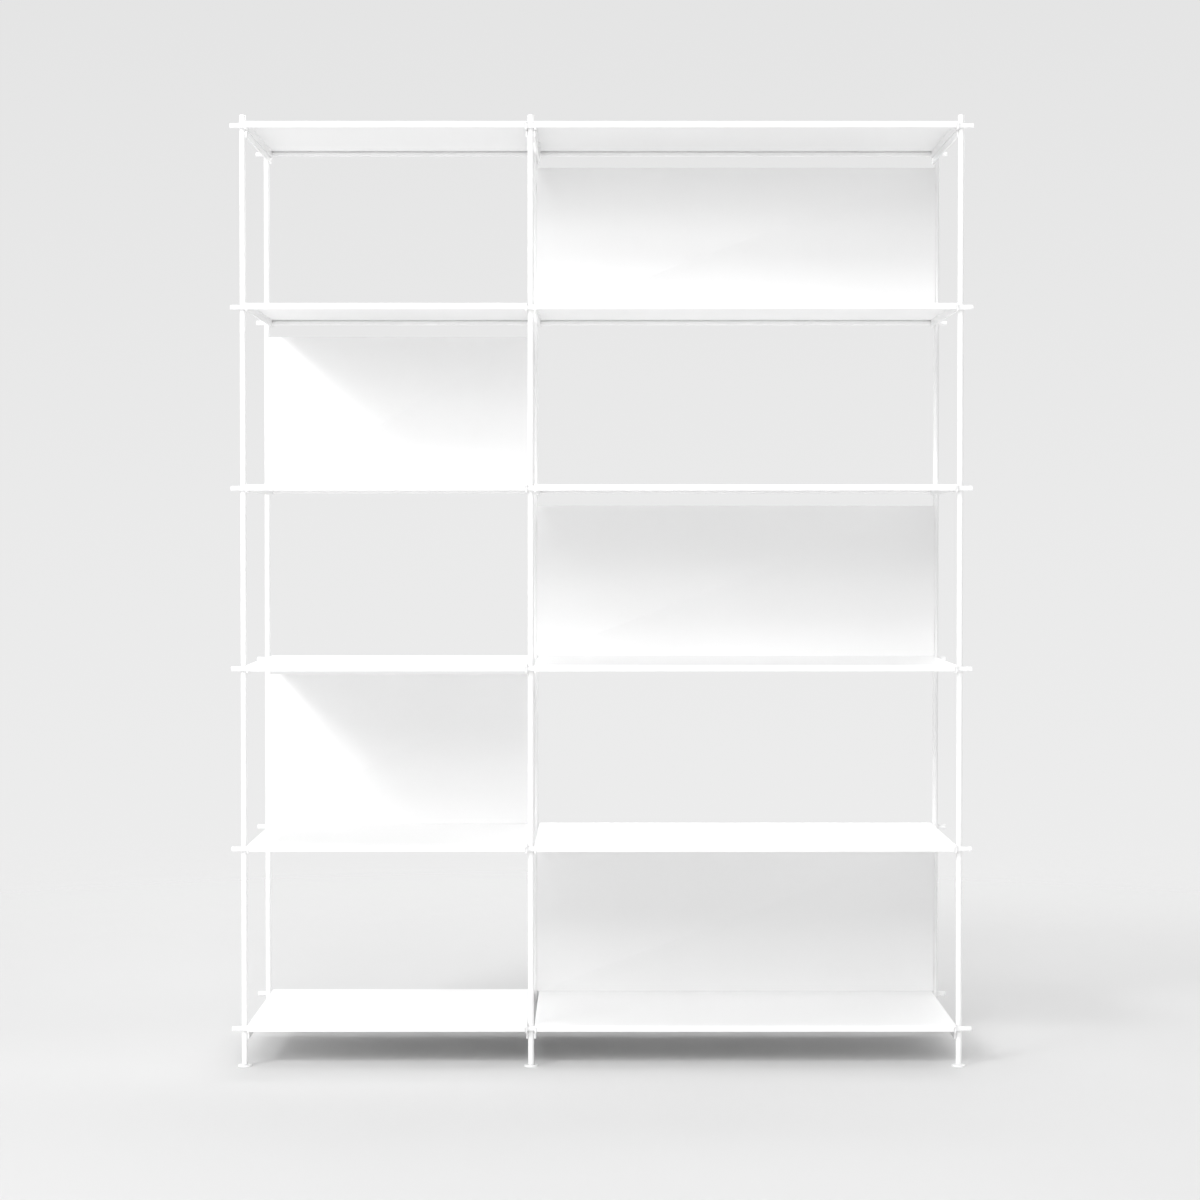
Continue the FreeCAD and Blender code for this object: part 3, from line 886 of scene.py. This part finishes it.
# %% Lay the floor
FLOOR_HALF = 60.0
FLOOR_SEEN = 0.775
FLOOR_BOUNCE = 0.93
FADE_START = 1.0
FADE_END = 3.6


def seen_rays(finish):
    """1 for the rays that show the background: from the camera, off gloss and through glass."""
    camera_ray = finish.add("ShaderNodeLightPath", output="Is Camera Ray")
    glossy_ray = finish.add("ShaderNodeLightPath", output="Is Glossy Ray")
    through_ray = finish.add("ShaderNodeLightPath", output="Is Transmission Ray")
    return camera_ray + glossy_ray + through_ray


floor_finish = Finish("pale_floor")
floor_place = floor_finish.add("ShaderNodeTexCoord", output="Object")
measure = {"operation": "LENGTH"}
floor_distance = floor_finish.add("ShaderNodeVectorMath", measure, {"Vector": floor_place}, output="Value")
fade = floor_finish.share(floor_distance, FADE_START, FADE_END, interpolation="SMOOTHSTEP")
rays = seen_rays(floor_finish)
floor_colour = floor_finish.blend_colours(rays, grey(FLOOR_BOUNCE), grey(FLOOR_SEEN))
matt = floor_finish.add("ShaderNodeBsdfDiffuse", None, {"Color": floor_colour})
clear = floor_finish.add("ShaderNodeBsdfTransparent")
floor_surface = floor_finish.add("ShaderNodeMixShader", None, {0: fade * rays, 1: matt, 2: clear})
floor_mesh = bmesh.new()
bmesh.ops.create_grid(floor_mesh, x_segments=1, y_segments=1, size=FLOOR_HALF)
floor_data = bpy.data.meshes.new("studio_floor")
floor_mesh.to_mesh(floor_data)
floor_mesh.free()
floor_data.materials.append(floor_finish.close(floor_surface))
floor = bpy.data.objects.new("studio_floor", floor_data)
bpy.context.scene.collection.objects.link(floor)
print("floor", 2 * FLOOR_HALF, "m across")

# %% [markdown]
# ## Light
# Soft boxes light the unit. Three stand to the left at different heights, so the shade under each shelf comes
# in gradually, two weaker ones stand in front, one hangs above, and a long one lights the floor and the
# panels from behind. The world adds the light of a pale room that is brighter on the left. What the camera
# and gloss see of the world is a separate pale tone that falls off a little with height, picked with the same
# Light Path rays as on the floor. The lamps are kept down, because the brighter they are, the more of the
# white shelves and panels run together.

# %% Set the lamps and the world
LAMP_TARGET = Vector((0.0, 0.0, 0.8))
LAMPS = {
    "left_high_box": {"place": (-4.5, -6.0, 5.0), "size": (2.0, 1.2), "power": 172.0},
    "left_middle_box": {"place": (-3.4, -6.0, 3.6), "size": (2.6, 1.4), "power": 74.0},
    "left_low_box": {"place": (-3.7, -3.7, 2.3), "size": (2.0, 1.1), "power": 16.0},
    "front_high_box": {"place": (-0.5, -6.0, 5.0), "size": (2.0, 1.2), "power": 64.0},
    "front_low_box": {"place": (0.0, -3.7, 2.3), "size": (1.3, 1.1), "power": 15.0},
    "top_box": {"place": (0.0, -0.5, 4.5), "size": (2.0, 1.0), "power": 15.0},
    "rear_box": {"place": (0.7, 3.8, 2.6), "size": (6.0, 1.0), "power": 85.0},
}
ROOM_LEFT = 0.63
ROOM_RIGHT = 0.47
BACKDROP_NEAR = 0.845
BACKDROP_LEVEL = 0.826
BACKDROP_HIGH = 0.783
BACKDROP_RISE = 0.17
BACKDROP_FALL = 0.12

for name, box in LAMPS.items():
    lamp_data = bpy.data.lights.new(name, "AREA")
    lamp_data.shape = "RECTANGLE"
    lamp_data.size, lamp_data.size_y = box["size"]
    lamp_data.energy = box["power"]
    lamp = bpy.data.objects.new(name, lamp_data)
    lamp.location = box["place"]
    lamp.rotation_euler = (lamp.location - LAMP_TARGET).to_track_quat("Z", "Y").to_euler()
    lamp.visible_camera = False
    bpy.context.scene.collection.objects.link(lamp)


class Surroundings(Finish):
    """The world's node tree, built with the same helpers as a material."""

    def __init__(self, name):
        self.world = bpy.data.worlds.new(name)
        self.world.use_nodes = True
        self.tree = self.world.node_tree
        self.tree.nodes.clear()

    def close(self, surface):
        """Finish the world with this background."""
        output = self.tree.nodes.new("ShaderNodeOutputWorld")
        self.tree.links.new(surface.socket, output.inputs["Surface"])
        return self.world


room = Surroundings("bright_room")
direction = room.add("ShaderNodeTexCoord", output="Generated")


def part_of_direction(axis):
    """How far the world's direction points along an axis, from -1 to 1."""
    return room.add("ShaderNodeSeparateXYZ", None, {"Vector": direction}, output=axis)


across = room.share(part_of_direction("X"), -1.0, 1.0)
rise = room.share(part_of_direction("Z"), 0.0, BACKDROP_RISE)
fall = room.share(part_of_direction("Z"), 0.0, -BACKDROP_FALL)
upper = room.blend_colours(rise, grey(BACKDROP_LEVEL), grey(BACKDROP_HIGH))
tone = room.blend_colours(fall, upper, grey(BACKDROP_NEAR))
seen = room.add("ShaderNodeBackground", None, {"Color": tone, "Strength": 1.0})
glow = room.blend_colours(across, grey(ROOM_LEFT), grey(ROOM_RIGHT))
lit = room.add("ShaderNodeBackground", None, {"Color": glow, "Strength": 1.0})
either = room.add("ShaderNodeMixShader", None, {0: seen_rays(room), 1: lit, 2: seen})
bpy.context.scene.world = room.close(either)
print(len(LAMPS), "soft boxes, room light", ROOM_LEFT, "to", ROOM_RIGHT)

# %% [markdown]
# ## Camera
# The camera stands a little over five metres in front of the unit, somewhat above half its height, with a
# long lens, so the rods look straight and the rear frame shows just inside the front one.

# %% Place the camera
CAMERA_PLACE = (-0.0029, -5.1492, 0.8953)
CAMERA_DOWN = math.radians(1.341)
LENS = 89.6
SENSOR = 36.0

camera_data = bpy.data.cameras.new("camera")
camera_data.lens = LENS
camera_data.sensor_width = SENSOR
camera = bpy.data.objects.new("camera", camera_data)
camera.location = CAMERA_PLACE
camera.rotation_euler = (QUARTER - CAMERA_DOWN, 0.0, 0.0)
bpy.context.scene.collection.objects.link(camera)
bpy.context.scene.camera = camera
bpy.context.scene.view_settings.view_transform = "Standard"
print("camera at", CAMERA_PLACE)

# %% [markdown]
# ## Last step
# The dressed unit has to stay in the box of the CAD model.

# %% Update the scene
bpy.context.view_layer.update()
